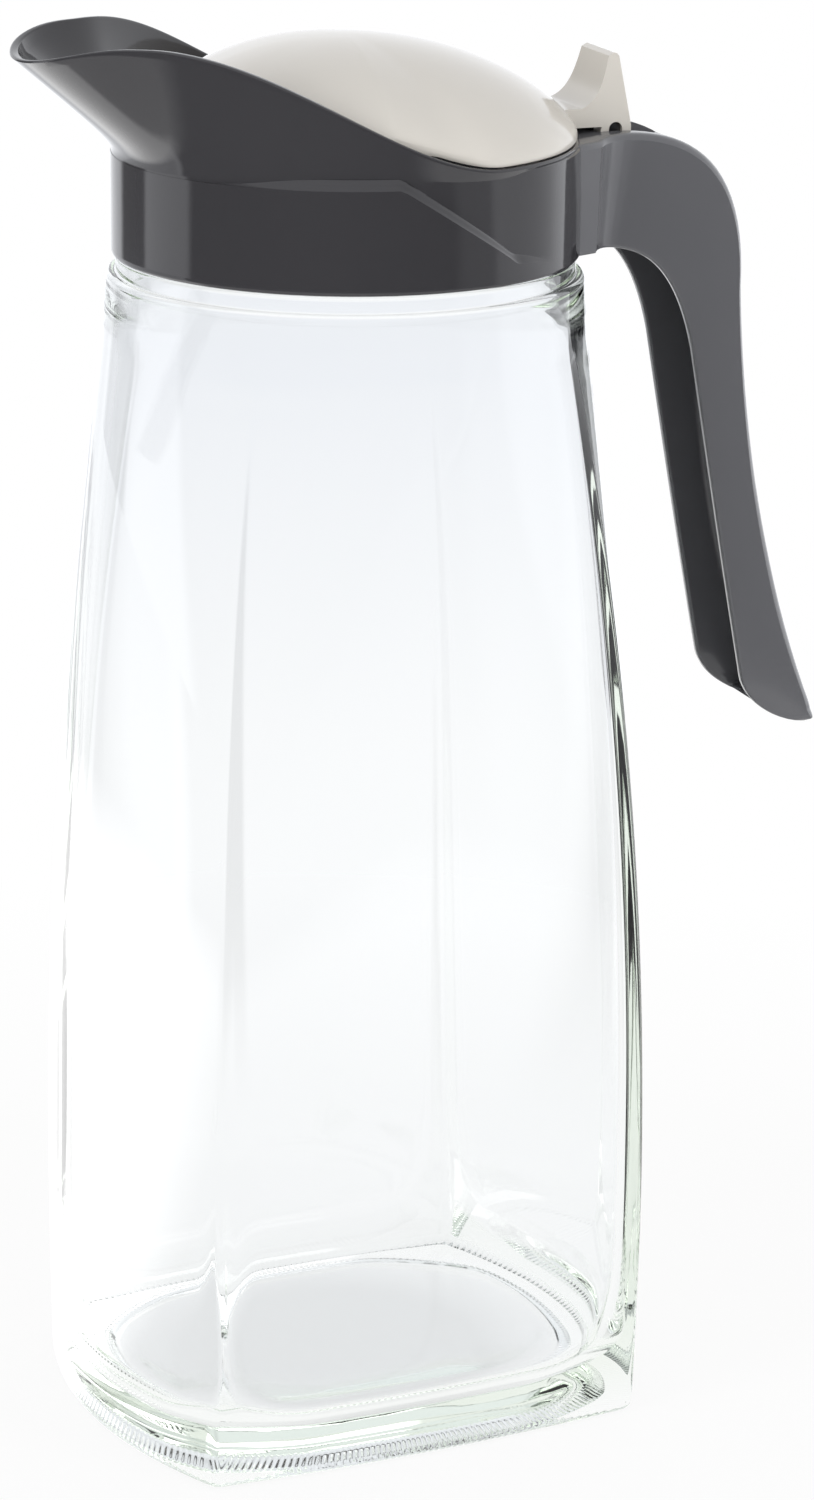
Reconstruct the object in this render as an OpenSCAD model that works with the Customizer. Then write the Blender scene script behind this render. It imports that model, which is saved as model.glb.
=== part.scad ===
/* [Jug] */
// Height of the glass from its resting ring to the shoulder ledge
shoulder_h = 235.8; // [200:1:260]
// How far the round shoulder stands out past the collar
shoulder_out = 0.9; // [0.4:0.1:2]
// Half width across the spout and handle faces, without their bulge
face_x = 48.5; // [46.9:0.1:52]
// Half width across the two plain faces, before they draw in
face_y = 51.5; // [48:0.1:54]
// How far the plain faces draw in towards the base
draw_in = 5; // [0:0.1:7]
// How far the spout and handle faces bulge at the base
bow = 8.8; // [4:0.1:10]
// Radius of the upright edges
edge_r = 3; // [2:0.5:9]
// Radius of the upright edges inside the glass
inner_edge_r = 6; // [3:0.5:9]
// Thickness of the glass walls
glass_wall = 3.6; // [2.5:0.1:5]
// Thickness of the glass floor over the resting ring
floor_t = 8.5; // [7:0.1:12]
// Radius of the outer heel
heel_r = 2.6; // [2:0.1:4]
// Width of the ring that the jug stands on
rest_w = 5.1; // [3:0.1:7]
// Height of the push-up in the middle of the base
punt_h = 3.5; // [2:0.1:5]
// Angle that the jug stands turned by under the pourer
jug_turn = 4; // [0:0.2:12]

/* [Neck] */
// How far the glass ring under the collar stands back from it
ring_in = 0.8; // [0.2:0.1:1.4]
// Height of the glass ring seen under the collar
ring_h = 3.1; // [2:0.1:5]
// Gap between the neck and the collar round it
neck_gap = 0.6; // [0.4:0.1:1.5]
// Height of the neck above its ring
neck_h = 16.2; // [12:0.1:24]
// Thickness of the glass at the neck
neck_wall = 3.9; // [3:0.1:5]

/* [Collar] */
// Outer radius of the collar
collar_r = 46; // [45.8:0.1:49]
// Wall thickness of the collar
collar_wall = 2; // [1.6:0.1:2.3]
// Thickness of the deck over the neck
deck_t = 2.5; // [2:0.1:4]
// Width of the deck's edge inside the plug
opening_in = 3.4; // [2.4:0.1:8]
// Thickness of the plug that reaches into the neck
plug_t = 1.6; // [1.2:0.1:2]
// Length of the plug below the deck
plug_h = 8; // [5:0.5:12]
// Thickness of the sealing ring
seal_t = 1.7; // [1:0.1:3]
// Gap between pieces that move past each other
run_gap = 0.3; // [0.2:0.05:0.4]

/* [Spout] */
// Reach of the spout tip past the collar
spout_out = 20.8; // [14:0.2:28]
// Height of the spout rim above the deck
spout_rise = 24.4; // [18:0.2:30]
// Height of the low rim at the back, above the deck
rim_low = 2.2; // [1.5:0.1:4]
// How far the bowl stands back from the collar where it leaves the deck
bowl_in = 1.6; // [1:0.1:2.5]
// How far the bowl's low rim stands back from the collar
rim_in = 0.6; // [0.2:0.1:1.4]
// Wall thickness of the bowl and the spout
bowl_wall = 1.8; // [1.4:0.1:2.2]

/* [Lid] */
// Height of the dome's crown above the deck
dome_rise = 22.7; // [18:0.5:28]
// Wall thickness of the lid
lid_wall = 1.8; // [1.4:0.1:2.4]
// How far the lid stands back from the collar where it rests on the low rim
lid_in = 1; // [0.6:0.1:1.6]
// Height of the thumb lever above the hinge pin
lever_h = 15; // [10:0.5:20]
// Width of the thumb lever at its foot
lever_w = 16; // [14:0.2:17]
// Width of the thumb lever at its top
lever_top_w = 13.6; // [10:0.2:14]

/* [Hinge] */
// Distance of the hinge pin from the collar
hinge_out = 7.6; // [6:0.1:10]
// Height of the hinge pin above the deck
hinge_up = 2.4; // [2:0.1:3.4]
// Radius of the hinge pin
pin_r = 1.4; // [1:0.1:1.6]
// Width of the knuckle between the lid's two ears
knuckle_w = 8; // [6:0.2:9]

/* [Handle] */
// Reach of the handle's flared tip past the collar
tip_out = 54.8; // [48:0.2:64]
// Height of the handle's tip above the table
tip_z = 136.5; // [115:0.5:155]
// Width of the handle at the collar
root_w = 25; // [22:0.2:28]
// Width of the handle at the grip
grip_w = 24.3; // [20:0.1:26]
// Wall thickness of the hollow handle
handle_wall = 2; // [1.6:0.1:2.4]

/* [Hidden] */

overrun = 1;
pin_play = 0.05;
press_play = 0.02;
// Radii that follow the collar
shoulder_r = collar_r + shoulder_out;
ring_r = collar_r - ring_in;
neck_r = collar_r - collar_wall - neck_gap;
bore_r = neck_r - neck_wall;
plug_r = bore_r - neck_gap;
opening_r = plug_r - opening_in;
bowl_r = collar_r - bowl_in;
rim_r = collar_r - rim_in;
lid_r = collar_r - lid_in;
spout_reach = collar_r + spout_out;
hinge_x = collar_r + hinge_out;
tip_reach = collar_r + tip_out;
// Heights that several pieces share
ledge_z = shoulder_h;
ring_top = ledge_z + ring_h;
collar_z = ring_top + run_gap;
lip_z = ring_top + neck_h;
deck_under = lip_z + seal_t;
deck_z = deck_under + deck_t;
hinge_z = deck_z + hinge_up;

// Angles of a ring's points, closer together at the four corners
quarter_steps = 16;
corner_share = 1.6;
RING = [
    for (quarter = [0:3], step = [0:quarter_steps - 1])
        let (u = 2 * step / quarter_steps - 1)
        90 * quarter + 45 + 45 * sign(u) * pow(abs(u), corner_share)
];

function mix(a, b, t) = a + (b - a) * t;
function ease(t) = let (c = min(1, max(0, t))) c * c * (3 - 2 * c);

// Reach along one direction of a form with four arched sides, drawn in by an inset.
// The sides are a and b away, and meet at the given share of both; r softens the edges.
function arched(a, b, share, r, inset, phi) =
    let (
        rise_x = a * (1 - share),
        rise_y = b * (1 - share),
        r_x = (pow(b * share, 2) + pow(rise_x, 2)) / (2 * rise_x),
        r_y = (pow(a * share, 2) + pow(rise_y, 2)) / (2 * rise_y),
        turn = max(0, 90 - asin(min(1, b * share / r_x)) - asin(min(1, a * share / r_y))),
        soft = 4 * r * (1 / cos(turn / 2) - 1),
        c = abs(cos(phi)),
        s = abs(sin(phi)),
        to_x = (a - r_x) * c + sqrt(max(0, pow(r_x - inset, 2) - pow((a - r_x) * s, 2))),
        to_y = (b - r_y) * s + sqrt(max(0, pow(r_y - inset, 2) - pow((b - r_y) * c, 2))),
        near = max(0, soft - abs(to_x - to_y))
    )
    min(to_x, to_y) - (soft > 0 ? near * near / (4 * soft) : 0);

// One point of the jug: its form is [a, b, share, bulge of the x sides]
function jug_point(form, inset, r, phi, z) =
    let (
        d = arched(form[0], form[1], form[2], r, inset, phi),
        y = d * sin(phi)
    )
    [
        d * cos(phi) * (1 + form[3] / (form[0] - inset) * (1 - pow(y / (form[1] - inset), 2))),
        y,
        z
    ];
round_corner_share = sqrt(0.5);
function disc(r, z) = [
    for (phi = RING) jug_point([r, r, round_corner_share, 0], 0, 0, phi, z)
];

// Skin over a stack of rings, capped at both ends or joined end to end
module skin(rings, looped = false) {
    n = len(rings[0]);
    m = len(rings);
    last = looped ? m - 1 : m - 2;
    walls = [
        for (i = [0:last], j = [0:n - 1])
            let (
                k = (i + 1) % m,
                a = i * n + j,
                b = i * n + (j + 1) % n,
                c = k * n + (j + 1) % n,
                d = k * n + j
            )
            each [[a, c, b], [a, d, c]]
    ];
    caps = looped ? [] : [
        [for (j = [0:n - 1]) j],
        [for (j = [n - 1:-1:0]) (m - 1) * n + j]
    ];
    polyhedron([for (ring = rings) each ring], concat(walls, caps));
}

// The jug's outer form at a height: its arched sides turn round towards the shoulder
edge_low_share = 0.165;
round_share = 0.947;
round_power = 2.24;
draw_share = 0.57;
bow_power = 2.4;
waist_power = 3.1;
function jug_form(z) =
    let (
        t = z / shoulder_h,
        grown = pow(min(1, t / round_share), round_power),
        low = max(0, 1 - t / draw_share),
        full = mix(face_x, shoulder_r, pow(t, waist_power)),
        flat = mix(face_y, shoulder_r, pow(t, waist_power)) - draw_in * low * low,
        even = min(full, flat)
    )
    [
        mix(full, even, grown),
        mix(flat, even, grown),
        mix(1, round_corner_share, mix(edge_low_share, 1, grown)),
        bow * (1 - pow(t, bow_power))
    ];
function jug_ring(z, inset = 0, r = edge_r, at = undef) =
    let (form = jug_form(z))
    [for (phi = RING) jug_point(form, inset, r, phi, is_undef(at) ? z : at)];

// Rings of the jug, from under the base, up the outside and down the inside
heel_steps = 4;
outer_steps = 12;
inner_steps = 8;
punt_round = 24;
punt_slope = 5;
inner_heel = 9;
lip_round = 0.9;
ledge_round = 0.8;
arc_share = 0.3;
inner_shoulder = 9;
function punt_ring(inset, z) = jug_ring(0, inset, punt_round, z);
punt_edge = heel_r + rest_w;
under_shares = [0.6, 0.9];
under_rings = [
    punt_ring(punt_edge + 3 * punt_slope, punt_h),
    punt_ring(punt_edge + punt_slope, punt_h * under_shares[1]),
    punt_ring(punt_edge + punt_slope / 2, punt_h * under_shares[0]),
    punt_ring(punt_edge, 0)
];
heel_rings = [
    for (i = [0:heel_steps])
        let (a = 90 * i / heel_steps)
        jug_ring(heel_r * (1 - cos(a)), heel_r * (1 - sin(a)))
];
outer_rings = [
    for (i = [1:outer_steps])
        jug_ring(mix(heel_r, shoulder_h - ledge_round, i / outer_steps))
];
finish_rings = [
    jug_ring(shoulder_h - ledge_round, ledge_round * arc_share, edge_r, ledge_z - ledge_round * arc_share),
    disc(shoulder_r - ledge_round, ledge_z),
    disc(ring_r, ledge_z),
    disc(ring_r, ring_top - lip_round / 2),
    disc(ring_r - lip_round / 2, ring_top),
    disc(neck_r, ring_top),
    disc(neck_r, lip_z - lip_round),
    disc(neck_r - lip_round * arc_share, lip_z - lip_round * arc_share),
    disc(neck_r - lip_round, lip_z),
    disc(bore_r + lip_round, lip_z),
    disc(bore_r + lip_round * arc_share, lip_z - lip_round * arc_share),
    disc(bore_r, lip_z - lip_round),
    disc(bore_r, ring_top)
];
inner_top = shoulder_h - inner_shoulder;
inner_low = floor_t + inner_heel;
function inner_edge(z) =
    mix(inner_edge_r, punt_round, pow(max(0, 1 - (z - floor_t) / (3 * inner_heel)), 2));
inner_rings = [
    for (i = [0:inner_steps])
        let (z = mix(inner_top, inner_low, i / inner_steps))
        jug_ring(z, glass_wall, inner_edge(z))
];
floor_rings = [
    for (i = [1:heel_steps])
        let (
            a = 90 * i / heel_steps,
            z = inner_low - inner_heel * sin(a)
        )
        jug_ring(z, glass_wall + inner_heel * (1 - cos(a)), inner_edge(z))
];
middle_shares = [0.5, 0.7];
middle_rings = [
    punt_ring(punt_edge + punt_slope, floor_t + punt_h * middle_shares[0]),
    punt_ring(punt_edge + 3 * punt_slope, floor_t + punt_h * middle_shares[1])
];

module jug() {
    color([0.86, 0.93, 0.9, 0.45])
        rotate([0, 0, jug_turn])
            skin(concat(under_rings, heel_rings, outer_rings, finish_rings,
                inner_rings, floor_rings, middle_rings));
}

// Plan reach of the bowl's rim, by the angle from the spout's tip
nose_out = 7.7;
nose_angle = 20.5;
nose_power = 5;
beak_angle = 30;
function off_spout(phi) = abs(abs((phi + 360) % 360) - 180);
function rim_reach(phi) =
    let (off = off_spout(phi))
    rim_r + nose_out * exp(-pow(off / nose_angle, nose_power))
        + (spout_reach - rim_r - nose_out) * exp(-pow(off / beak_angle, 2));
// Height of the rim over the deck, by its place along the jug
rise_from = 17;
rise_span = 65;
beak_from = 51.5;
beak_drop = 3.7;
function rim_rise(x) =
    mix(rim_low, spout_rise, ease((rise_from - x) / rise_span))
        - beak_drop * pow(max(0, -x - beak_from) / (spout_reach - beak_from), 2);
// The bowl leaves the collar upright and flares out softly, flush with it under the spout
flush_from = 25;
flush_span = 45;
flush_in = 0.1;
soft_foot_share = 0.14;
function flare(t) =
    let (from = soft_foot_share)
    (sqrt(t * t + from * from) - from) / (sqrt(1 + from * from) - from);
function bowl_reach(phi, t) =
    mix(
        mix(collar_r - flush_in, bowl_r, ease((off_spout(phi) - flush_from) / flush_span)),
        rim_reach(phi),
        flare(t)
    );
// Reach of the bowl's inner face at a height over the deck
function bowl_inside(phi, up) =
    bowl_reach(phi, min(1, up / rim_rise(rim_reach(phi) * cos(phi)))) - bowl_wall;

// Points round the bowl, closer together at the spout
bowl_points = 72;
bunching = 22;
BOWL = [
    for (i = [0:bowl_points - 1])
        let (u = i / bowl_points)
        360 * u - 180 - bunching * sin(360 * u)
];
function bowl_ring(t, inset, drop = 0) = [
    for (phi = BOWL)
        let (
            top = deck_z + rim_rise(rim_reach(phi) * cos(phi)),
            d = bowl_reach(phi, t) - inset
        )
        [d * cos(phi), d * sin(phi), mix(deck_z, top, t) - drop]
];
bowl_steps = 6;
bowl_step_power = 1.5;
bowl_rings = concat(
    [bowl_ring(0, bowl_wall / 2, deck_t / 2)],
    [for (i = [0:bowl_steps]) bowl_ring(pow(i / bowl_steps, bowl_step_power), 0)],
    [for (i = [bowl_steps:-1:0]) bowl_ring(pow(i / bowl_steps, bowl_step_power), bowl_wall)],
    [bowl_ring(0, bowl_wall, deck_t / 2)]
);

// Skirt, deck and plug, turned about the jug's axis
collar_shoulder = 1.6;
inner_fillet = 0.35;
edge_round = 0.4;
module collar() {
    rotate_extrude($fn = 96)
        polygon([
            [opening_r, deck_z],
            [opening_r, deck_under - plug_h],
            [opening_r + plug_t, deck_under - plug_h - plug_t / 2],
            [plug_r, deck_under - plug_h],
            [plug_r, deck_under],
            [collar_r - collar_wall, deck_under],
            [collar_r - collar_wall, collar_z],
            [collar_r - edge_round, collar_z],
            [collar_r, collar_z + edge_round],
            [collar_r, deck_z - edge_round / 2],
            [collar_r - edge_round / 2, deck_z],
            [bowl_r, deck_z + collar_shoulder],
            [bowl_r - bowl_wall, deck_z + inner_fillet]
        ]);
}

// Cubic curve through four control points
function curve(p, t) =
    let (s = 1 - t)
    s * s * s * p[0] + 3 * s * s * t * p[1] + 3 * s * t * t * p[2] + t * t * t * p[3];

// The handle's edges run from the collar round the bend and down to the tip
root_share = 0.8;
root_x = collar_r - collar_wall * root_share;
function place(share) = [
    mix(root_x, tip_reach, share[0]),
    mix(tip_z, deck_z, share[1])
];
outer_shares = [
    [[0, 0.998], [0.27, 1.026], [0.662, 1.027], [0.649, 0.76]],
    [[0.649, 0.76], [0.661, 0.614], [0.722, 0.337], [0.962, 0.053]],
    [[0.962, 0.053], [0.99, 0.024], [1, 0.008], [0.986, 0.001]]
];
inner_shares = [
    [[0, 0.836], [0.19, 0.837], [0.365, 0.836], [0.453, 0.654]],
    [[0.453, 0.654], [0.508, 0.516], [0.605, 0.272], [0.685, 0.089]],
    [[0.685, 0.089], [0.721, 0.049], [0.82, 0.008], [0.973, -0.002]]
];
OUTER = [for (leg = outer_shares) [for (point = leg) place(point)]];
INNER = [for (leg = inner_shares) [for (point = leg) place(point)]];
leg_steps = [12, 8, 4];
STATIONS = [
    for (leg = [0:2], i = [(leg == 0 ? 0 : 1):leg_steps[leg]])
        leg + i / leg_steps[leg]
];
function edge_at(legs, s) =
    let (leg = min(2, floor(s)))
    curve(legs[leg], s - leg);
root_flare = 2.5;
flare_share = 0.2;
function half_width(s) =
    mix(root_w, grip_w, ease(s)) / 2 + root_flare * pow(max(0, 1 - s / flare_share), 2);

// A ring across the handle: flat sides, round outer edges, small inner ones
outer_round = 4;
root_round = 2.2;
inner_round = 0.7;
channel_round_share = 0.8;
corner_steps = 4;
function handle_ring(s, outer_t, inner_t, side_t) =
    let (
        a = edge_at(INNER, s),
        b = edge_at(OUTER, s),
        along = (b - a) / norm(b - a),
        depth = norm(b - a) - outer_t,
        w = half_width(s) - side_t,
        full = min(mix(root_round, outer_round, ease(s)), depth / 3),
        r = max(inner_round, full - side_t * channel_round_share)
    )
    [
        for (corner = [
            [depth - r, r - w, r, 0], [inner_t + inner_round, inner_round - w, inner_round, -90],
            [inner_t + inner_round, w - inner_round, inner_round, -180], [depth - r, w - r, r, -270]
        ], i = [0:corner_steps])
            let (
                angle = corner[3] - 90 * i / corner_steps,
                out = a + along * (corner[0] + corner[2] * cos(angle)),
                y = corner[1] + corner[2] * sin(angle)
            )
            [out[0], y, out[1]]
    ];

// The channel that hollows the handle from the side that faces the jug
channel_from = 0.36;
channel_full = 1.1;
channel_start_share = 0.82;
function channel_ring(s) =
    let (
        solid = 1 - ease((s - channel_from) / (channel_full - channel_from)),
        depth = norm(edge_at(OUTER, s) - edge_at(INNER, s))
    )
    handle_ring(s, mix(handle_wall, depth * channel_start_share, solid), -inner_round - overrun, handle_wall);
channel_stations = [for (s = STATIONS) if (s >= channel_from && s <= 2) s];

// The pocket over the handle's root, where the lid's ears and lever swing
ear_r = 3.3;
pocket_r = ear_r + run_gap * 2;
pocket_w = lever_w + run_gap * 2;
pocket_end = 16;
module pocket() {
    translate([hinge_x, 0, hinge_z])
        rotate([90, 0, 0])
            linear_extrude(pocket_w, center = true)
                union() {
                    circle(pocket_r, $fn = 48);
                    translate([-pocket_r, 0])
                        square([2 * pocket_r, pocket_r * 2]);
                    translate([0, -pocket_r])
                        square([pocket_end, pocket_r * 3]);
                }
}

// The knuckle that stands in the pocket, between the lid's ears
knuckle_r = 2.9;
module knuckle() {
    translate([hinge_x, knuckle_w / 2, hinge_z])
        rotate([90, 0, 0])
            linear_extrude(knuckle_w)
                difference() {
                    union() {
                        circle(knuckle_r, $fn = 48);
                        translate([-knuckle_r, -pocket_r - overrun])
                            square([2 * knuckle_r, pocket_r + overrun]);
                    }
                    circle(pin_r + press_play, $fn = 48);
                }
}

module handle() {
    difference() {
        skin([for (s = STATIONS) handle_ring(s, 0, 0, 0)]);
        skin([for (s = channel_stations) channel_ring(s)]);
        pocket();
    }
}

module pourer() {
    color("#56555a") {
        union() {
            collar();
            skin(bowl_rings, looped = true);
            handle();
            knuckle();
        }
    }
}

// The sealing ring lies on the glass lip, against the deck
seal_gap = 0.3;
module seal() {
    color("#e8e8e4")
        translate([0, 0, lip_z])
            rotate_extrude($fn = 96)
                translate([plug_r + seal_gap, 0])
                    square([collar_r - collar_wall - plug_r - 2 * seal_gap, seal_t]);
}

pin_short = 0.8;
module hinge_pin() {
    color("#4a494e")
        translate([hinge_x, lever_w / 2 - pin_short, hinge_z])
            rotate([90, 0, 0])
                cylinder(r = pin_r, h = lever_w - 2 * pin_short, $fn = 48);
}

// The dome's edge rests over the low rim and drops inside the bowl in front
lid_front = 36;
front_power = 4;
edge_h = 1.2;
over_from = 96;
over_span = 14;
tuck_from = 94;
tuck_span = 18;
tuck_rise = 8.5;
slide_gap = run_gap * 1.5;
crown_x = -1;
crown_power = 1.42;
dome_points = 72;
DOME = [for (i = [0:dome_points - 1]) 360 * i / dome_points];
function tuck(phi) = ease((tuck_from - off_spout(phi)) / tuck_span);
function lid_reach(phi) =
    let (
        off = off_spout(phi),
        inside = bowl_inside(phi, tuck_rise) - slide_gap,
        free = mix(inside, lid_r, ease((off - over_from) / over_span)),
        cut = lid_front / max(0.2, cos(off))
    )
    off >= over_from ? free : pow(pow(free, -front_power) + pow(cut, -front_power), -1 / front_power);
function lid_rise(phi) = rim_rise(lid_reach(phi) * cos(phi));
function lid_edge(phi) = deck_z + mix(lid_rise(phi) + run_gap, 2 * run_gap, tuck(phi));
function dome_foot(phi) =
    deck_z + mix(lid_rise(phi) + run_gap + edge_h, min(lid_rise(phi), tuck_rise), tuck(phi));
function dome_ring(t, inset) = [
    for (phi = DOME)
        let (d = lid_reach(phi) - inset, crown = deck_z + dome_rise - inset)
        [
            mix(crown_x, d * cos(phi), sin(90 * t)),
            d * sin(phi) * sin(90 * t),
            mix(dome_foot(phi), crown, pow(max(0, cos(90 * t)), crown_power))
        ]
];
function lid_rim(inset) = [
    for (phi = DOME)
        let (
            z = lid_edge(phi),
            inside = bowl_inside(phi, z - deck_z) - slide_gap,
            d = (tuck(phi) > 0 ? min(lid_reach(phi), inside) : lid_reach(phi)) - inset
        )
        [d * cos(phi), d * sin(phi), z]
];
dome_steps = 9;
dome_rings = concat(
    [for (i = [dome_steps:-1:1]) dome_ring(1 - (i - 0.5) / dome_steps, lid_wall)],
    [dome_ring(1, lid_wall), lid_rim(lid_wall), lid_rim(0), dome_ring(1, 0)],
    [for (i = [1:dome_steps]) dome_ring(1 - (i - 0.5) / dome_steps, 0)]
);

// Side of the lever and its foot, as places round the hinge pin
foot_reach = 11.5;
foot_h = 4.4;
foot_under = 0.6;
lever_t = 1.6;
lever_front_shares = [[-2.3, 0.29], [-1.05, 0.37], [-0.7, 0.7], [-0.4, 0.96]];
lever_heel_share = 0.2;
lever_tip_share = 0.3;
lever_steps = 8;
LEVER_FRONT = [
    for (i = [0:lever_steps])
        let (point = curve(lever_front_shares, i / lever_steps))
        [point[0] * ear_r, point[1] * lever_h]
];
module lever_side() {
    circle(ear_r, $fn = 48);
    polygon(concat(
        [
            [ear_r, 0],
            [ear_r, ear_r * lever_heel_share],
            [lever_t * lever_tip_share, lever_h - lever_t * lever_tip_share],
            [0, lever_h]
        ],
        [for (i = [lever_steps:-1:0]) LEVER_FRONT[i]],
        [[-foot_reach, foot_h], [-foot_reach, foot_under], [0, foot_under - ear_r * lever_tip_share]]
    ));
}

// The lever narrows to its top, and straddles the knuckle with two ears
module lever() {
    slot_w = knuckle_w + run_gap * 2;
    slot_r = knuckle_r + run_gap * 2;
    translate([hinge_x, 0, hinge_z])
        difference() {
            intersection() {
                rotate([90, 0, 0])
                    linear_extrude(lever_w, center = true)
                        lever_side();
                rotate([90, 0, 90])
                    linear_extrude(4 * foot_reach, center = true)
                        polygon([
                            [-lever_w / 2, -2 * ear_r], [lever_w / 2, -2 * ear_r],
                            [lever_w / 2, foot_h], [lever_top_w / 2, lever_h + overrun],
                            [-lever_top_w / 2, lever_h + overrun], [-lever_w / 2, foot_h]
                        ]);
            }
            rotate([90, 0, 0])
                linear_extrude(slot_w, center = true)
                    union() {
                        circle(slot_r, $fn = 48);
                        translate([-slot_r, -2 * ear_r])
                            square([slot_r, 2 * ear_r]);
                        translate([0, -2 * ear_r])
                            square([2 * ear_r, 2 * ear_r + slot_r]);
                    }
            rotate([90, 0, 0])
                cylinder(r = pin_r + pin_play, h = lever_w + 2 * overrun, center = true, $fn = 48);
        }
}

module lid() {
    color("#d6d1c9")
        union() {
            skin(dome_rings);
            lever();
        }
}

jug();
pourer();
seal();
hinge_pin();
lid();
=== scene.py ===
import math

import bpy
from mathutils import Matrix, Vector


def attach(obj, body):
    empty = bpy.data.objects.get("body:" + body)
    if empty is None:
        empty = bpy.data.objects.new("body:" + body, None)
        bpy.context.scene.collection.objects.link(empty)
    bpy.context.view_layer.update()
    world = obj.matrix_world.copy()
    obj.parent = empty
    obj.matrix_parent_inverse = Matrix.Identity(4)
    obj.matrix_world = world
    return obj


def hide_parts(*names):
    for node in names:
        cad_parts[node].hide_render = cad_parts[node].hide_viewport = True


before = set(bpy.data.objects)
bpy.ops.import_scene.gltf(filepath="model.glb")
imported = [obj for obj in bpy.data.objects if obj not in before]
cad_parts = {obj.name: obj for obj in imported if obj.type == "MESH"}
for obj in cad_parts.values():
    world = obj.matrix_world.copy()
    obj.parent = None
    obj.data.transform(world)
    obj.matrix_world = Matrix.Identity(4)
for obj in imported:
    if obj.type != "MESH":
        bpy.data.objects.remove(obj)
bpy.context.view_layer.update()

# The jug is pressed from clear glass in one piece. Its body is a square with arched sides that draws
# in and bulges towards the base, and turns round at the shoulder. The walls are almost 4 mm thick, the
# floor is thicker, and the whole stands on a ring with fine ridges pressed into it.
millimetre = 0.001
half_length = 48.5
half_width = 51.5
side_curve = 3.1
base_draws_in = 5
draws_in_below = 0.57
base_arch = 0.165
round_from = 0.947
round_curve = 2.24
base_bulge = 8.8
bulge_curve = 2.4
shoulder_height = 235.8
shoulder_radius = 46.9
shoulder_round = 1.2
neck_ring_top = 238.9
neck_ring_radius = 45.2
neck_ring_round = 0.9
neck_radius = 43.4
lip_height = 255.1
lip_round = 1.0
round_middle = 0.3
ring_fillet = 0.25
neck_fillet = 0.2
bore_radius = 39.5
bore_foot = neck_ring_top + 1
inner_shoulder_radius = 43.3
inner_shoulder_height = 226.8
glass_wall = 3.6
glass_floor = 8.5
floor_round = 9
heel_radius = 2.6
resting_inset = 7.7
outer_edge_round = 1.5
inner_edge_round = 4.5
inner_edge_fade = 27
punt_edge = 24
jug_turn = 4
edge_crowding = 1.8
body_steps = 44
inner_steps = 36
body_top = shoulder_height - shoulder_round
floor_edge = glass_floor + floor_round


def tube(name, points, rings):
    """A tube of unit rings, one above the other, that is shaped afterwards."""
    bpy.ops.object.select_all(action="DESELECT")
    bpy.ops.mesh.primitive_circle_add(vertices=points, radius=1)
    piece = bpy.context.active_object
    piece.name = name
    piece.data.name = name
    bpy.ops.object.mode_set(mode="EDIT")
    bpy.ops.mesh.select_all(action="SELECT")
    for _ in range(rings - 1):
        bpy.ops.mesh.extrude_region_move(TRANSFORM_OT_translate={"value": (0, 0, 1)})
    bpy.ops.object.mode_set(mode="OBJECT")
    return piece


def shape(piece, place):
    """Puts each point of a tube where place(ring, turn) says, in millimetres; turn runs from 0 to 1."""
    for vertex in piece.data.vertices:
        turn = math.atan2(vertex.co.y, vertex.co.x) / math.tau % 1
        vertex.co = Vector(place(round(vertex.co.z), turn)) * millimetre


def close(piece, joined=False):
    """Closes a tube's two ends with flat faces, or joins them to each other."""
    bpy.ops.object.mode_set(mode="EDIT")
    bpy.ops.mesh.select_mode(type="EDGE")
    bpy.ops.mesh.select_all(action="DESELECT")
    bpy.ops.mesh.select_non_manifold()
    if joined:
        bpy.ops.mesh.bridge_edge_loops()
    else:
        bpy.ops.mesh.fill_holes(sides=0)
    bpy.ops.mesh.select_all(action="SELECT")
    bpy.ops.mesh.normals_make_consistent(inside=False)
    bpy.ops.object.mode_set(mode="OBJECT")


def smooth(piece, degrees):
    """Shades a piece smooth except over edges sharper than this."""
    bpy.ops.object.select_all(action="DESELECT")
    piece.select_set(True)
    bpy.context.view_layer.objects.active = piece
    bpy.ops.object.shade_smooth_by_angle(angle=math.radians(degrees))


def mix(low, high, share):
    return low + (high - low) * share


def ease(share):
    share = min(1, max(0, share))
    return share * share * (3 - 2 * share)


def rounding(steps):
    """The angles of a rounded edge, through a quarter turn."""
    return [math.radians(90 * k / steps) for k in range(steps + 1)]


def arched_reach(a, b, corner, edge, inset, angle):
    """How far a form of half sizes a and b with four arched sides reaches in one direction."""
    rise_x, rise_y = a * (1 - corner), b * (1 - corner)
    bend_x = ((b * corner) ** 2 + rise_x ** 2) / (2 * rise_x)
    bend_y = ((a * corner) ** 2 + rise_y ** 2) / (2 * rise_y)
    slope_x = math.asin(min(1, b * corner / bend_x))
    slope_y = math.asin(min(1, a * corner / bend_y))
    soft = 4 * edge * (1 / math.cos(max(0, math.pi / 2 - slope_x - slope_y) / 2) - 1)
    across, along = abs(math.cos(angle)), abs(math.sin(angle))
    to_x = (a - bend_x) * across + math.sqrt(max(0, (bend_x - inset) ** 2 - ((a - bend_x) * along) ** 2))
    to_y = (b - bend_y) * along + math.sqrt(max(0, (bend_y - inset) ** 2 - ((b - bend_y) * across) ** 2))
    near = max(0, soft - abs(to_x - to_y))
    return min(to_x, to_y) - (near * near / (4 * soft) if soft > 0 else 0)


def body_form(height):
    """Half sizes of the body at a height, the share of both where its sides meet, and its bulge."""
    share = height / shoulder_height
    grown = min(1, share / round_from) ** round_curve
    full = mix(half_length, shoulder_radius, share ** side_curve)
    flat = mix(half_width, shoulder_radius, share ** side_curve)
    flat -= base_draws_in * max(0, 1 - share / draws_in_below) ** 2
    even = min(full, flat)
    corner = mix(1, math.sqrt(0.5), mix(base_arch, 1, grown))
    return mix(full, even, grown), mix(flat, even, grown), corner, base_bulge * (1 - share ** bulge_curve)


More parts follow.
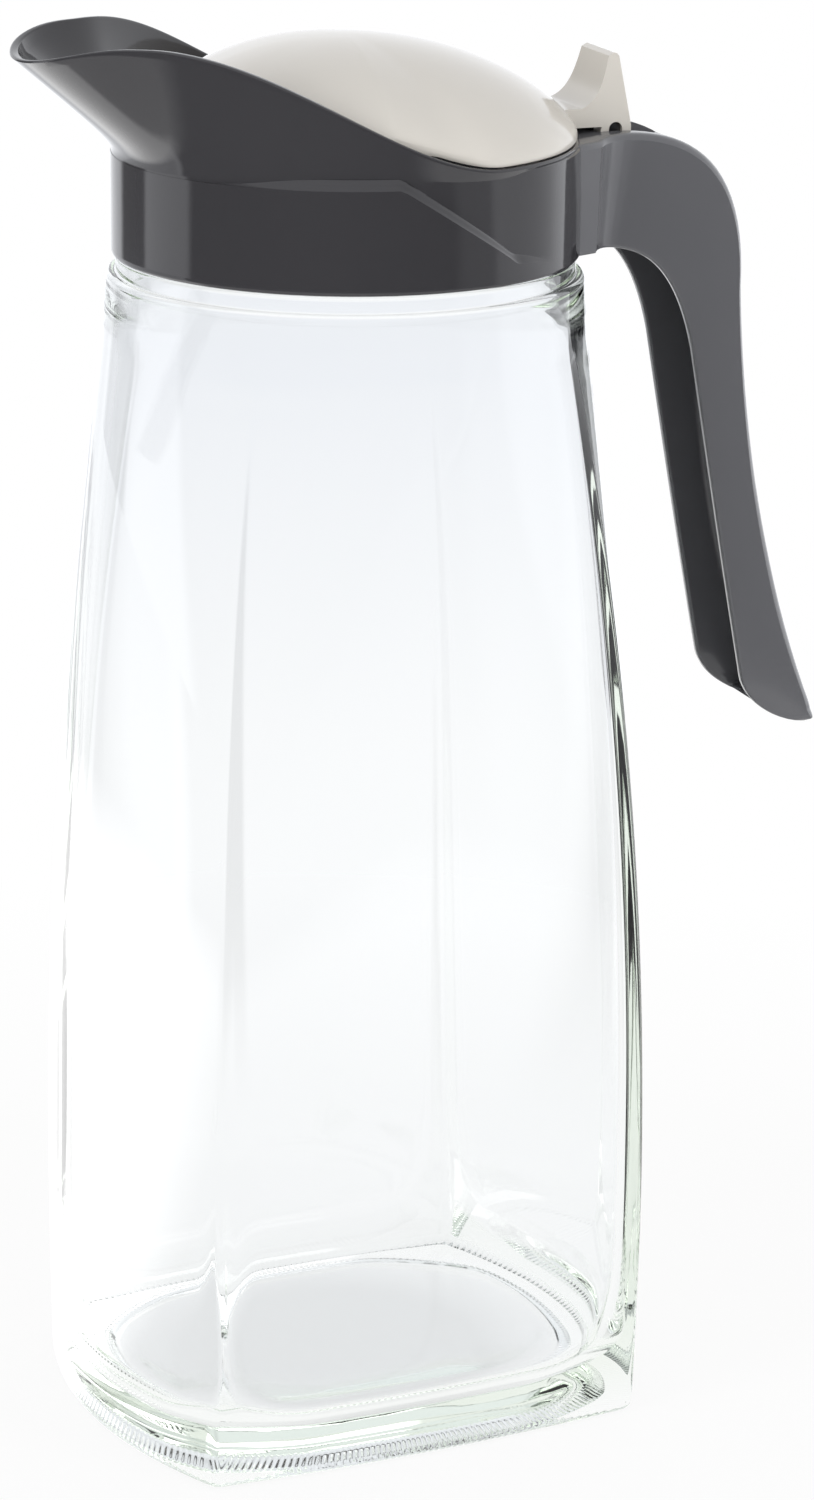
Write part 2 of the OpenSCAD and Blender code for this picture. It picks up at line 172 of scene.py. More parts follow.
def glass_point(form, inset, edge, height, turn):
    """A point of the glass; the rings' points stand closer together at the four edges."""
    a, b, corner, bulge = form
    quarter, place = divmod(turn * 4, 1)
    side = 2 * place - 1
    angle = math.radians(90 * quarter + 45 + 45 * math.copysign(abs(side) ** edge_crowding, side))
    reach = arched_reach(a, b, corner, edge, inset, angle)
    x, y = reach * math.cos(angle), reach * math.sin(angle)
    x *= 1 + bulge / (a - inset) * (1 - (y / (b - inset)) ** 2)
    cosine, sine = math.cos(math.radians(jug_turn)), math.sin(math.radians(jug_turn))
    return x * cosine - y * sine, x * sine + y * cosine, height


def body_ring(height, inset=0, at=None):
    return body_form(height), inset, outer_edge_round, height if at is None else at


def punt_ring(inset, height):
    return body_form(0), inset, punt_edge, height


def inner_ring(height, inset=glass_wall):
    """A ring of the glass's inner face, whose edges grow rounder down to the floor."""
    low = max(0, 1 - (height - glass_floor) / inner_edge_fade) ** 2
    return body_form(height), inset, mix(inner_edge_round, punt_edge, low), height


def round_ring(radius, height):
    return (radius, radius, math.sqrt(0.5), 0), 0, 0, height


def resting_ring(share):
    """A ring of the flat underside, from the edge of the punt to the heel."""
    edge = mix(punt_edge, outer_edge_round, share)
    return body_form(0), mix(resting_inset, heel_radius, share), edge, 0


def shoulder_ring(angle):
    """A ring of the rounded edge between the body and the neck."""
    inset = shoulder_round * (1 - math.cos(angle))
    return body_ring(body_top, inset, shoulder_height - shoulder_round * (1 - math.sin(angle)))


def throat_ring(share):
    """A ring of the inner face between the bore and the body."""
    radius = mix(bore_radius, inner_shoulder_radius, ease(share))
    return round_ring(radius, mix(bore_foot, inner_shoulder_height, share))


# The punt's and the floor's profiles give how far in from the resting ring, and how high.
punt_profile = (
    (30, 3.6), (22, 3.55), (15, 3.5), (9, 3.4), (6, 3.15),
    (4, 2.6), (2.5, 1.7), (1.2, 0.6), (0.4, 0.12), (0, 0))
floor_profile = ((7, 0.9), (10, 1.6), (15, 2.3), (22, 2.6), (30, 2.7))
neck_profile = (
    (neck_ring_radius + ring_fillet, shoulder_height),
    (neck_ring_radius, shoulder_height + ring_fillet),
    (neck_ring_radius, neck_ring_top - neck_ring_round),
    (neck_ring_radius - round_middle, neck_ring_top - round_middle),
    (neck_ring_radius - neck_ring_round, neck_ring_top),
    (neck_radius + neck_fillet, neck_ring_top),
    (neck_radius, neck_ring_top + neck_fillet),
    (neck_radius, lip_height - lip_round),
    (neck_radius - round_middle, lip_height - round_middle),
    (neck_radius - lip_round, lip_height),
    (bore_radius + lip_round, lip_height),
    (bore_radius + round_middle, lip_height - round_middle),
    (bore_radius, lip_height - lip_round),
    (bore_radius, bore_foot))
jug_rings = (
    [punt_ring(resting_inset + reach, height) for reach, height in punt_profile]
    + [resting_ring(k / 4) for k in (1, 2, 3)]
    + [body_ring(heel_radius * (1 - math.cos(a)), heel_radius * (1 - math.sin(a))) for a in rounding(8)]
    + [body_ring(mix(heel_radius, body_top, k / body_steps)) for k in range(1, body_steps + 1)]
    + [shoulder_ring(a) for a in rounding(4)[1:]]
    + [round_ring(radius, height) for radius, height in neck_profile]
    + [throat_ring(k / 6) for k in range(1, 6)]
    + [inner_ring(mix(inner_shoulder_height, floor_edge, k / inner_steps))
       for k in range(inner_steps + 1)]
    + [inner_ring(floor_edge - floor_round * math.sin(a), glass_wall + floor_round * (1 - math.cos(a)))
       for a in rounding(8)[1:]]
    + [punt_ring(resting_inset + reach, glass_floor + height) for reach, height in floor_profile]
)

glass = tube("jug_glass", 160, len(jug_rings))
shape(glass, lambda ring, turn: glass_point(*jug_rings[ring], turn))
close(glass)
smooth(glass, 50)


class Value:
    """A number in a shader: an expression on it adds its Math nodes."""

    def __init__(self, finish, socket):
        self.finish, self.socket = finish, socket

    def math(self, operation, *others):
        inputs = dict(enumerate([self, *others]))
        made = self.finish.node("ShaderNodeMath", {"operation": operation}, inputs)
        return Value(self.finish, made.outputs[0])

    def __add__(self, other):
        return self.math("ADD", other)

    def __sub__(self, other):
        return self.math("SUBTRACT", other)

    def __rsub__(self, other):
        made = self.finish.node("ShaderNodeMath", {"operation": "SUBTRACT"}, {0: other, 1: self})
        return Value(self.finish, made.outputs[0])

    def __mul__(self, other):
        return self.math("MULTIPLY", other)

    def __truediv__(self, other):
        return self.math("DIVIDE", other)

    def held(self):
        """The value, held between 0 and 1."""
        return self.math("MAXIMUM", 0).math("MINIMUM", 1)

    __radd__ = __add__


class Finish:
    """A material's or the world's nodes, made from nothing."""

    def __init__(self, owner):
        owner.use_nodes = True
        self.owner, self.tree = owner, owner.node_tree
        self.tree.nodes.clear()

    def node(self, kind, settings=(), inputs=()):
        made = self.tree.nodes.new(kind)
        for name, setting in dict(settings).items():
            if name == "stops":
                for place, level in setting[1:-1]:
                    made.color_ramp.elements.new(place)
                for stop, (place, level) in zip(made.color_ramp.elements, setting):
                    stop.position, stop.color = place, (level, level, level, 1)
            else:
                setattr(made, name, setting)
        for name, given in dict(inputs).items():
            source = given.socket if isinstance(given, Value) else given
            if isinstance(source, bpy.types.NodeSocket):
                self.tree.links.new(source, made.inputs[name])
            else:
                made.inputs[name].default_value = source
        return made

    def place(self, coordinates="Object"):
        return self.node("ShaderNodeTexCoord").outputs[coordinates]

    def axes(self, position):
        parts = self.node("ShaderNodeSeparateXYZ", inputs={0: position})
        return [Value(self, part) for part in parts.outputs]

    def noise(self, position, scale, detail):
        made = self.node("ShaderNodeTexNoise", inputs={
            "Vector": position, "Scale": scale, "Detail": detail})
        return Value(self, made.outputs["Fac"])

    def blend(self, share, low, high):
        """A colour between two."""
        made = self.node("ShaderNodeMix", {"data_type": "RGBA"}, {0: share, 6: (*low, 1), 7: (*high, 1)})
        return made.outputs[2]


ridge_turns = 210
ridge_lean = 900
ridged_height = 0.0025
ridge_share = 0.3

pressed = Finish(bpy.data.materials.new("pressed_glass"))
position = pressed.place()
x, y, z = pressed.axes(position)
waves = pressed.noise(position, 16.0, 1.0)
ridges = (y.math("ARCTAN2", x) * ridge_turns + z * ridge_lean).math("SINE")
on_ring = (1 - z / ridged_height).math("MAXIMUM", 0)
smudges = pressed.noise(position, 60.0, 4.0)
relief = pressed.node("ShaderNodeBump", inputs={
    "Height": waves + ridges * on_ring * ridge_share, "Strength": 0.35, "Distance": 0.0009})
clear = pressed.node("ShaderNodeBsdfPrincipled", inputs={
    "Base Color": (0.985, 0.99, 0.998, 1), "Roughness": smudges * 0.03, "IOR": 1.5,
    "Transmission Weight": 1.0, "Normal": relief.outputs[0]})
depth = pressed.node("ShaderNodeVolumeAbsorption", inputs={
    "Color": (0.66, 0.80, 0.60, 1), "Density": 5.0})
pressed.node("ShaderNodeOutputMaterial", inputs={"Surface": clear.outputs[0], "Volume": depth.outputs[0]})

glass.data.materials.append(pressed.owner)
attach(glass, "jug_body")
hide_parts("jug")

# The collar is the lower part of the grey moulding: a plain skirt over the neck, a deck across its
# top, and a plug that reaches down into the glass. It is moulded in one shot with the bowl and handle.
# The skirt's upper edge is a small ledge, which runs down towards the handle on both sides.
collar_radius = 46.0
skirt_wall = 2.0
skirt_inside = collar_radius - skirt_wall
collar_foot = 239.2
foot_round = 0.6
deck_under = 256.8
deck_height = 259.3
deck_rise = 0.4
bowl_foot_radius = 44.4
bowl_foot_inside = bowl_foot_radius - 1.8
ledge_height = 2.0
ledge_depth = 1.3
ledge_swell = 0.12
ledge_foot_round = 0.6
ledge_level = deck_height - 0.2
ledge_bend_height = 243.1
ledge_end_height = 240.6
level_from = 97
bend_at = 65
ledge_end = 40
ledge_grows_from = 50
ledge_grows_over = 20
joins_bowl_from = 155
joins_bowl_over = 45
plug_radius = 38.9
plug_foot = deck_under - 8
opening_radius = 35.5

collar_profile = [
    (opening_radius, deck_height), (opening_radius, plug_foot),
    (opening_radius + 0.8, plug_foot - 0.8), (plug_radius - 0.5, plug_foot - 0.3),
    (plug_radius, plug_foot + 0.4), (plug_radius, deck_under - 0.2),
    (plug_radius + 0.2, deck_under), (skirt_inside - 0.3, deck_under),
    (skirt_inside, deck_under - 0.3), (skirt_inside, collar_foot + 0.5),
    (skirt_inside + 0.3, collar_foot + 0.1), (skirt_inside + foot_round, collar_foot),
    (collar_radius - foot_round, collar_foot), (collar_radius - 0.2, collar_foot + 0.15),
    (collar_radius, collar_foot + foot_round),
    ("skirt", 0.03), ("skirt", 0.5), ("skirt", 0.98),
    ("ledge", 0), ("ledge", 0.12), ("ledge", 0.5), ("ledge", 0.88), ("ledge", 1),
    ("back", 0.04), ("back", 0.5), ("back", 0.96), ("top", 0), ("top", 1),
    (bowl_foot_inside, deck_height + deck_rise),
]
collar = tube("pourer_collar", 240, len(collar_profile))


def from_handle(angle):
    return abs((math.degrees(angle) + 180) % 360 - 180)


def ledge_foot(side):
    """Height of the ledge's lower edge: on the deck in front, then falling towards the handle."""
    if side > level_from:
        return ledge_level
    if side > bend_at:
        return mix(ledge_bend_height, ledge_level, (side - bend_at) / (level_from - bend_at))
    return mix(ledge_end_height, ledge_bend_height, ease((side - ledge_end) / (bend_at - ledge_end)))


def collar_point(ring, turn):
    """A point of the collar, from its profile; side tells how far round from the handle it lies."""
    angle = math.tau * turn
    kind, share = collar_profile[ring]
    side = from_handle(angle)
    foot = ledge_foot(side)
    grown = ease((side - ledge_grows_from) / ledge_grows_over)
    joined = ease((joins_bowl_from - side) / joins_bowl_over)
    depth = ledge_depth * grown
    crown = deck_height + mix(0.1, ledge_height, joined)
    head = min(foot + mix(ledge_foot_round, ledge_height, grown), crown - 0.1)
    head = max(head, foot + 0.02)
    if kind == "skirt":
        radius, height = collar_radius, mix(collar_foot + foot_round, foot, share)
    elif kind == "ledge":
        radius = collar_radius - depth * (share + ledge_swell * math.sin(math.tau * share))
        height = mix(foot, head, share)
    elif kind == "back":
        radius, height = collar_radius - depth, mix(head, crown - 0.02, share)
        past_deck = max(0, min(1, (height - deck_height + 0.3) / 0.6))
        radius -= (collar_radius - bowl_foot_radius - ledge_depth) * past_deck * joined
    elif kind == "top":
        radius, height = mix(collar_radius - 0.15, bowl_foot_radius, joined) - 0.5 * share, crown
    else:
        radius, height = kind, share
    return radius * math.cos(angle), radius * math.sin(angle), height


shape(collar, collar_point)
close(collar, joined=True)
smooth(collar, 30)


def plastic(name, dark, light, flow_scale, skin_scale, skin_share, relief, polish, dulling):
    """A moulded plastic: its flow shows a little in colour and gloss, and its skin is a fine peel."""
    finish = Finish(bpy.data.materials.new(name))
    position = finish.place()
    flow = finish.noise(position, flow_scale, 3.0)
    skin = finish.noise(position, skin_scale, 2.0)
    colour = finish.blend(flow, dark, light)
    strength, distance = relief
    peel = finish.node("ShaderNodeBump", inputs={
        "Height": flow + skin * skin_share, "Strength": strength, "Distance": distance})
    surface = finish.node("ShaderNodeBsdfPrincipled", inputs={
        "Base Color": colour, "Roughness": polish + flow * dulling, "IOR": 1.5, "Normal": peel.outputs[0]})
    finish.node("ShaderNodeOutputMaterial", inputs={"Surface": surface.outputs[0]})
    return finish.owner


grey_moulding = plastic(
    "grey_moulding", (0.037, 0.036, 0.040), (0.043, 0.042, 0.046), flow_scale=35.0, skin_scale=260.0,
    skin_share=0.12, relief=(0.12, 0.0006), polish=0.05, dulling=0.05)
collar.data.materials.append(grey_moulding)
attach(collar, "pourer_body")
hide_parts("pourer")

# The bowl rises from the deck. Its wall is low behind, climbs towards the front and flares out there
# into the spout, with a thin rounded rim. It belongs to the same grey moulding as the collar.
rim_radius = 45.4
spout_reach = 66.8
spout_rise = 24.4
low_rim = 2.2
bowl_wall = 1.8
bowl_sunk = 2.2
rim_round = 0.55
nose_reach = 7.7
nose_width = 20.5
flare_width = 30
beak_from = 51.5
beak_dip = 3.7
climb_from = 17
climb_length = 65
soft_foot = 0.14
flush_from = 25
flush_over = 45
foot_crowding = 1.4
outer_steps = 30
inner_bowl_steps = 24
front_crowding = 22


def off_spout(angle):
    return abs(abs(math.degrees(angle) % 360) - 180)


def rim_reach(angle):
    """How far the rim reaches: round behind, a wide flare in front and a narrow nose on it."""
    off = off_spout(angle)
    nose = nose_reach * math.exp(-(off / nose_width) ** 5)
    flare = (spout_reach - rim_radius - nose_reach) * math.exp(-(off / flare_width) ** 2)
    return rim_radius + nose + flare


def rim_rise(x):
    beak = max(0, -x - beak_from) / (spout_reach - beak_from)
    return mix(low_rim, spout_rise, ease((climb_from - x) / climb_length)) - beak_dip * beak ** 2


def bowl_reach(angle, share):
    """How far the bowl's outer face reaches: upright where it leaves the deck, then flared."""
    flare = math.sqrt(share ** 2 + soft_foot ** 2) - soft_foot
    flare /= math.sqrt(1 + soft_foot ** 2) - soft_foot
    flush = mix(collar_radius - 0.1, bowl_foot_radius, ease((off_spout(angle) - flush_from) / flush_over))
    return mix(flush, rim_reach(angle), flare)


rim_profile = (
    (0.04, 0.25), (0.15, 0.42), (0.35, 0.52), (0.6, 0.55),
    (1.2, 0.55), (1.45, 0.52), (1.65, 0.42), (1.76, 0.25))
bowl_rings = (
    [(0, 0, bowl_sunk), (0, 0, 0.3)]
    + [((k / outer_steps) ** foot_crowding, 0, 0) for k in range(outer_steps + 1)]
    + [(1, inset, -lift) for inset, lift in rim_profile]
    + [((1 - k / inner_bowl_steps) ** foot_crowding, bowl_wall, 0) for k in range(inner_bowl_steps + 1)]
    + [(0, bowl_wall, bowl_sunk)]
)


def bowl_point(ring, turn):
    """A point of the bowl; the rings' points stand closer together at the spout."""
    share, inset, drop = bowl_rings[ring]
    angle = math.tau * turn + math.radians(front_crowding) * math.sin(math.tau * turn)
    top = rim_rise(rim_reach(angle) * math.cos(angle))
    reach = bowl_reach(angle, share) - inset
    height = deck_height + mix(0, top - rim_round, share) - drop
    return reach * math.cos(angle), reach * math.sin(angle), height


bowl = tube("pourer_bowl", 192, len(bowl_rings))
shape(bowl, bowl_point)
close(bowl, joined=True)
smooth(bowl, 50)
bowl.data.materials.append(grey_moulding)
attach(bowl, "pourer_body")

# The handle runs out from the collar, turns down in a tight bend and ends in a flared tip. It is
# hollow: an open channel runs along its inner side, so its section is a deep U with rounded outer
# edges. Its root follows the collar, and a pocket for the hinge is cut into its top.
tip_reach = 100.8
tip_height = 136.5
handle_root = 44.4
handle_wall = 2.0
root_half = 12.5
grip_half = 12.15
root_spread = 8.5
root_spread_over = 0.27
root_spread_curve = 2.6
tip_narrows_from = 2.72
tip_corner = 2.2
channel_from = 0.34
channel_opens_over = 0.5
channel_ends_from = 2.3
channel_ends_over = 0.4
least_hollow = 0.05
root_edge_round = 2.2
outer_round = 4
lip_edge_round = 0.7
channel_round = 2.2
root_start = 44.0
root_end = 44.8
root_cut = 60
root_cut_middle = 250
crease = 60
crease_share = math.sin(math.radians(crease))
corner_steps = 4


def handle_place(share_out, share_up):
    return Vector((mix(handle_root, tip_reach, share_out), mix(tip_height, deck_height, share_up)))


# Each edge is three curves of four points, from the root over the bend and the grip to the tip.
outer_edge = [[handle_place(*point) for point in leg] for leg in (
    ((0, 1.0135), (0.27, 1.026), (0.662, 1.027), (0.649, 0.76)),
    ((0.649, 0.76), (0.661, 0.614), (0.722, 0.337), (0.962, 0.053)),
    ((0.962, 0.053), (0.99, 0.024), (1, 0.008), (0.986, 0.001)))]
inner_edge = [[handle_place(*point) for point in leg] for leg in (
    ((0, 0.836), (0.19, 0.837), (0.365, 0.836), (0.453, 0.654)),
    ((0.453, 0.654), (0.508, 0.516), (0.605, 0.272), (0.685, 0.089)),
    ((0.685, 0.089), (0.702, 0.05), (0.81, 0.005), (0.973, -0.002)))]
stations = [k / 26 for k in range(26)] + [1 + k / 22 for k in range(22)] + [2 + k / 14 for k in range(15)]

# For each corner of the U: where its arc's centre lies from it, in depth and aside, as a share of the
# radius, and the two angles between which the arc runs. The outer corners stop short and leave a crease.
section_corners = (
    (-1, crease_share, 0, -crease), (1, 1, -90, -180), (1, -1, -180, -270), (-1, 1, -90, 0),
    (-1, -1, 0, 90), (1, 1, -90, -180), (1, -1, 180, 90), (-1, -crease_share, crease, 0))


def bezier(points, t):
    a, b, c, d = points
    return a * (1 - t) ** 3 + b * 3 * (1 - t) ** 2 * t + c * 3 * (1 - t) * t ** 2 + d * t ** 3


def along_edge(legs, station):
    leg = min(2, int(station))
    return bezier(legs[leg], station - leg)


def handle_section(station):
    """The section's place and direction, and its corners: how deep, how far aside, and how round."""
    inner, outer = along_edge(inner_edge, station), along_edge(outer_edge, station)
    depth = (outer - inner).length
    half = mix(root_half, grip_half, ease(station))
    half += root_spread * max(0, 1 - station / root_spread_over) ** root_spread_curve
    tip = max(0, (station - tip_narrows_from) / (3 - tip_narrows_from))
    half -= tip_corner * (1 - math.sqrt(max(0, 1 - tip ** 2)))
    opened = ease((station - channel_from) / channel_opens_over)
    opened *= 1 - ease((station - channel_ends_from) / channel_ends_over)
    hollow = max(least_hollow, (depth - handle_wall) * opened)
    edge = min(mix(root_edge_round, outer_round, ease(station)), depth / 3)
    lip = min(lip_edge_round, hollow / 2)
    deep = min(channel_round, hollow / 2)
    side = half - handle_wall
    return inner, (outer - inner).normalized(), (
        (depth, -half, edge), (0, -half, lip_edge_round), (0, -side, lip), (hollow, -side, deep),
        (hollow, side, deep), (0, side, lip), (0, half, lip_edge_round), (depth, half, edge))


def handle_point(ring, turn):
    """A point of the handle; the first ring follows the collar's curve."""
    inner, outward, corners = handle_section(stations[ring])
    around = len(section_corners) * (corner_steps + 1)
    corner, step = divmod(round(turn * around) % around, corner_steps + 1)
    depth, aside, radius = corners[corner]
    into, toward, first, last = section_corners[corner]
    angle = math.radians(mix(first, last, step / corner_steps))
    place = inner + outward * (depth + into * radius + radius * math.cos(angle))
    aside += toward * radius + radius * math.sin(angle)
    x = math.sqrt(root_start ** 2 - aside ** 2) if ring == 0 else place.x
    return x, aside, place.y


handle = tube("pourer_handle", len(section_corners) * (corner_steps + 1), len(stations))
shape(handle, handle_point)
close(handle)

hinge_out = 53.6
hinge_height = 261.7
pocket_radius = 3.9
pocket_half = 8.3
pocket_length = 16
pocket_top = 8


def outline(name, points, half_width):
    """A flat outline in the XZ plane, in millimetres, drawn point by point and pulled out to both sides."""
    bpy.ops.object.select_all(action="DESELECT")
    bpy.ops.mesh.primitive_plane_add(size=1)
    piece = bpy.context.active_object
    piece.name = name
    piece.data.name = name
    bpy.ops.object.mode_set(mode="EDIT")
    bpy.ops.mesh.select_mode(type="VERT")
    bpy.ops.mesh.select_all(action="SELECT")
    bpy.ops.mesh.merge(type="CENTER")
    start = Vector((points[0][0], -half_width, points[0][1])) * millimetre
    bpy.ops.transform.translate(value=start)
    for before, after in zip(points, points[1:]):
        step = Vector((after[0] - before[0], 0, after[1] - before[1])) * millimetre
        bpy.ops.mesh.extrude_region_move(TRANSFORM_OT_translate={"value": step})
    bpy.ops.mesh.select_all(action="SELECT")
    bpy.ops.mesh.edge_face_add()
    across = (0, 2 * half_width * millimetre, 0)
    bpy.ops.mesh.extrude_region_move(TRANSFORM_OT_translate={"value": across})
    bpy.ops.mesh.select_all(action="SELECT")
    bpy.ops.mesh.normals_make_consistent(inside=False)
    bpy.ops.object.mode_set(mode="OBJECT")
    return piece


def arc(centre, radius, first, last, steps):
    """Points on an arc in the XZ plane, from one angle to another in degrees."""
    angles = [math.radians(mix(first, last, k / steps)) for k in range(steps + 1)]
    return [(centre[0] + radius * math.cos(a), centre[1] + radius * math.sin(a)) for a in angles]


def box(left, right, bottom, top):
    """The corners of a box in the XZ plane, from the hinge's centre."""
    return [(hinge_out + out, hinge_height + up) for out, up in (
        (left, bottom), (right, bottom), (right, top), (left, top))]


def cut(piece, cutter):
    """Cuts a piece with another, and takes the other away."""
    modifier = piece.modifiers.new("cut", "BOOLEAN")
    modifier.operation = "DIFFERENCE"
    modifier.solver = "EXACT"
    modifier.object = cutter
    bpy.ops.object.select_all(action="DESELECT")
    piece.select_set(True)
    bpy.context.view_layer.objects.active = piece
    bpy.ops.object.modifier_apply(modifier=modifier.name)
    bpy.data.objects.remove(cutter)


pin = (hinge_out, hinge_height)
cut(handle, outline("pocket", arc(pin, pocket_radius, 180, 270, 10) + [
    (hinge_out + pocket_length, hinge_height - pocket_radius),
    (hinge_out + pocket_length, hinge_height + pocket_top),
    (hinge_out - pocket_radius, hinge_height + pocket_top)], pocket_half))
bpy.ops.object.select_all(action="DESELECT")
bpy.ops.mesh.primitive_cylinder_add(
    vertices=240, radius=root_end * millimetre, depth=root_cut * millimetre,
    location=(0, 0, root_cut_middle * millimetre))
cut(handle, bpy.context.active_object)
smooth(handle, 27)

# The handle is the same grey plastic as the collar, a little rougher. Its copy of the colour is painted
# about three times lighter than the collar's, as painted light for the brighter light and reflections that
# its sides catch.
handle.data.materials.append(plastic(
    "grey_satin_moulding_painted_light", (0.118, 0.119, 0.129), (0.131, 0.132, 0.142), flow_scale=30.0, skin_scale=300.0,
    skin_share=0.15, relief=(0.12, 0.0006), polish=0.1, dulling=0.06))
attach(handle, "pourer_body")

# The knuckle stands in the pocket over the handle's root and holds the hinge pin between the lid's
# ears. It is part of the grey moulding, and the steel pin is pressed through it.
knuckle_radius = 2.9
knuckle_half = 4.0
knuckle_sunk = 0.6
knuckle_bore = 1.42
pin_radius = 1.4
pin_half = 7.2
chamfer_width = 0.2

knuckle_foot = hinge_height - pocket_radius - knuckle_sunk
knuckle = outline("pourer_knuckle", arc(pin, knuckle_radius, 180, 0, 20) + [
    (hinge_out + knuckle_radius, knuckle_foot), (hinge_out - knuckle_radius, knuckle_foot)], knuckle_half)
cut(knuckle, outline("pin_bore", arc(pin, knuckle_bore, 0, 345, 23), knuckle_half + 1))
smooth(knuckle, 40)
knuckle.data.materials.append(grey_moulding)
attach(knuckle, "pourer_body")


def soften(piece, width, segments):
    """Bevels a piece's sharp edges, by a width in millimetres."""
    bevel = piece.modifiers.new("soft_edges", "BEVEL")
    bevel.width = width * millimetre
    bevel.segments = segments
    bevel.limit_method = "ANGLE"
    bpy.context.view_layer.objects.active = piece
    return bevel


hinge_pin = outline("hinge_pin_wire", arc(pin, pin_radius, 0, 348, 29), pin_half)
chamfer = soften(hinge_pin, chamfer_width, 2)
bpy.ops.object.modifier_apply(modifier=chamfer.name)
smooth(hinge_pin, 40)

drawn = Finish(bpy.data.materials.new("drawn_wire"))
stretched = drawn.node("ShaderNodeMapping", inputs={"Vector": drawn.place(), "Scale": (900, 30, 900)})
lines = drawn.noise(stretched.outputs[0], 1.0, 2.0)
tone = drawn.blend(lines, (0.10, 0.10, 0.105), (0.18, 0.18, 0.185))
wire = drawn.node("ShaderNodeBsdfPrincipled", inputs={
    "Base Color": tone, "Metallic": 1.0, "Roughness": 0.3 + lines * 0.2})
drawn.node("ShaderNodeOutputMaterial", inputs={"Surface": wire.outputs[0]})
hinge_pin.data.materials.append(drawn.owner)
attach(hinge_pin, "pourer_body")
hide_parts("hinge_pin")

# The sealing ring is a flat ring of pale silicone between the glass lip and the deck. The CAD solid
# has its shape, so it stays and gets the finish here.
soft = Finish(bpy.data.materials.new("silicone"))
cloud = soft.noise(soft.place(), 90.0, 3.0)
milk = soft.blend(cloud, (0.72, 0.72, 0.69), (0.80, 0.80, 0.77))
rubber = soft.node("ShaderNodeBsdfPrincipled", inputs={
    "Base Color": milk, "Roughness": 0.5 + cloud * 0.15})
soft.node("ShaderNodeOutputMaterial", inputs={"Surface": rubber.outputs[0]})
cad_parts["seal"].data.materials.clear()
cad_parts["seal"].data.materials.append(soft.owner)

# The lid is a thin dome of cream plastic. Behind and at the sides it lies over the bowl's low rim; in
# front it drops inside the bowl and closes the way to the spout. Its edge is a plain moulded wall.
lid_radius = 45.0
lid_wall = 1.8
lid_gap = 0.45
lid_edge_round = 0.35
dome_crown = 282.0
crown_place = -1
dome_curve = 1.42
lid_front = 36.0
front_squareness = 4
tuck_height = 8.5
tuck_from = 94
tuck_over = 18
tucked_edge = 0.6
over_rim = 0.3
wall_over_rim = 1.5
inside_bowl_to = 96
leaves_bowl_over = 14
dome_steps = 30
dome_hole = 0.004


def bowl_inside(angle, height):
    share = min(1, height / rim_rise(rim_reach(angle) * math.cos(angle)))
    return bowl_reach(angle, share) - bowl_wall


def lid_reach(angle):
    """How far the lid reaches: to the rim behind, inside the bowl at the sides, and cut off in front."""
    off = off_spout(angle)
    inside = bowl_inside(angle, tuck_height) - lid_gap
    free = mix(inside, lid_radius, ease((off - inside_bowl_to) / leaves_bowl_over))
    if off >= inside_bowl_to:
        return free
    front = lid_front / max(0.2, math.cos(math.radians(off)))
    return (free ** -front_squareness + front ** -front_squareness) ** (-1 / front_squareness)


def tuck(angle):
    """1 where the lid is tucked into the bowl in front, 0 where it lies over the rim."""
    return ease((tuck_from - off_spout(angle)) / tuck_over)


def lid_rim_rise(angle):
    return rim_rise(lid_reach(angle) * math.cos(angle))


def lid_edge(angle):
    return deck_height + mix(lid_rim_rise(angle) + over_rim, tucked_edge, tuck(angle))


def dome_foot(angle):
    rise = lid_rim_rise(angle)
    return deck_height + mix(rise + wall_over_rim, min(rise, tuck_height), tuck(angle))


dome_shares = [dome_hole + (1 - dome_hole) * k / dome_steps for k in range(dome_steps + 1)]
dome_rings = (
    [("dome", share, lid_wall) for share in dome_shares]
    + [("wall", 0.4, lid_wall), ("wall", 0.8, lid_wall)]
    + [("edge", 0, lid_wall - lid_edge_round), ("edge", 0, lid_edge_round)]
    + [("wall", 0.8, 0), ("wall", 0.4, 0)]
    + [("dome", share, 0) for share in reversed(dome_shares)]
)


def dome_point(ring, turn):
    """A point of the dome: of its curve, of the wall below it or of the wall's edge."""
    kind, share, inset = dome_rings[ring]
    angle = math.tau * turn
    reach, edge, foot = lid_reach(angle), lid_edge(angle), dome_foot(angle)
    if kind == "dome":
        bend = math.radians(90 * share)
        out, reach = math.sin(bend), reach - inset
        height = mix(foot, dome_crown - inset, max(0, math.cos(bend)) ** dome_curve)
        return mix(crown_place, reach * math.cos(angle), out), reach * math.sin(angle) * out, height
    low = min(reach, bowl_inside(angle, edge - deck_height) - lid_gap) if tuck(angle) > 0 else reach
    height = edge if kind == "edge" else mix(foot, edge + lid_edge_round, share)
    reach = mix(reach, low, 1 if kind == "edge" else share) - inset
    return reach * math.cos(angle), reach * math.sin(angle), height


dome = tube("lid_dome", 192, len(dome_rings))
shape(dome, dome_point)
close(dome)

# The thumb lever stands up behind the dome on a flat foot. Two ears under it straddle the knuckle and
# turn on the pin. It is one moulding with the dome, and its edges are softly rounded.
ear_radius = 3.3
ear_bore = 1.45
lever_half = 8
lever_height = 15.0
lever_front = [
    Vector(point) for point in ((-7.59, 4.35), (-3.47, 5.55), (-2.31, 10.5), (-1.32, 14.4))]
lever_back = [
    (ear_radius, 0.66), (0.9, lever_height - 0.7), (0.45, lever_height - 0.15), (-0.2, lever_height)]
foot_reach = -14.5
ear_front = -3.0
foot_top = 4.4
foot_bottom = 0.6
top_taper = 0.15
slot_half = 4.3
slot_radius = 3.5
slot_depth = 5
slot_back = 5
slot_overlap = 0.5
soft_edge = 0.6

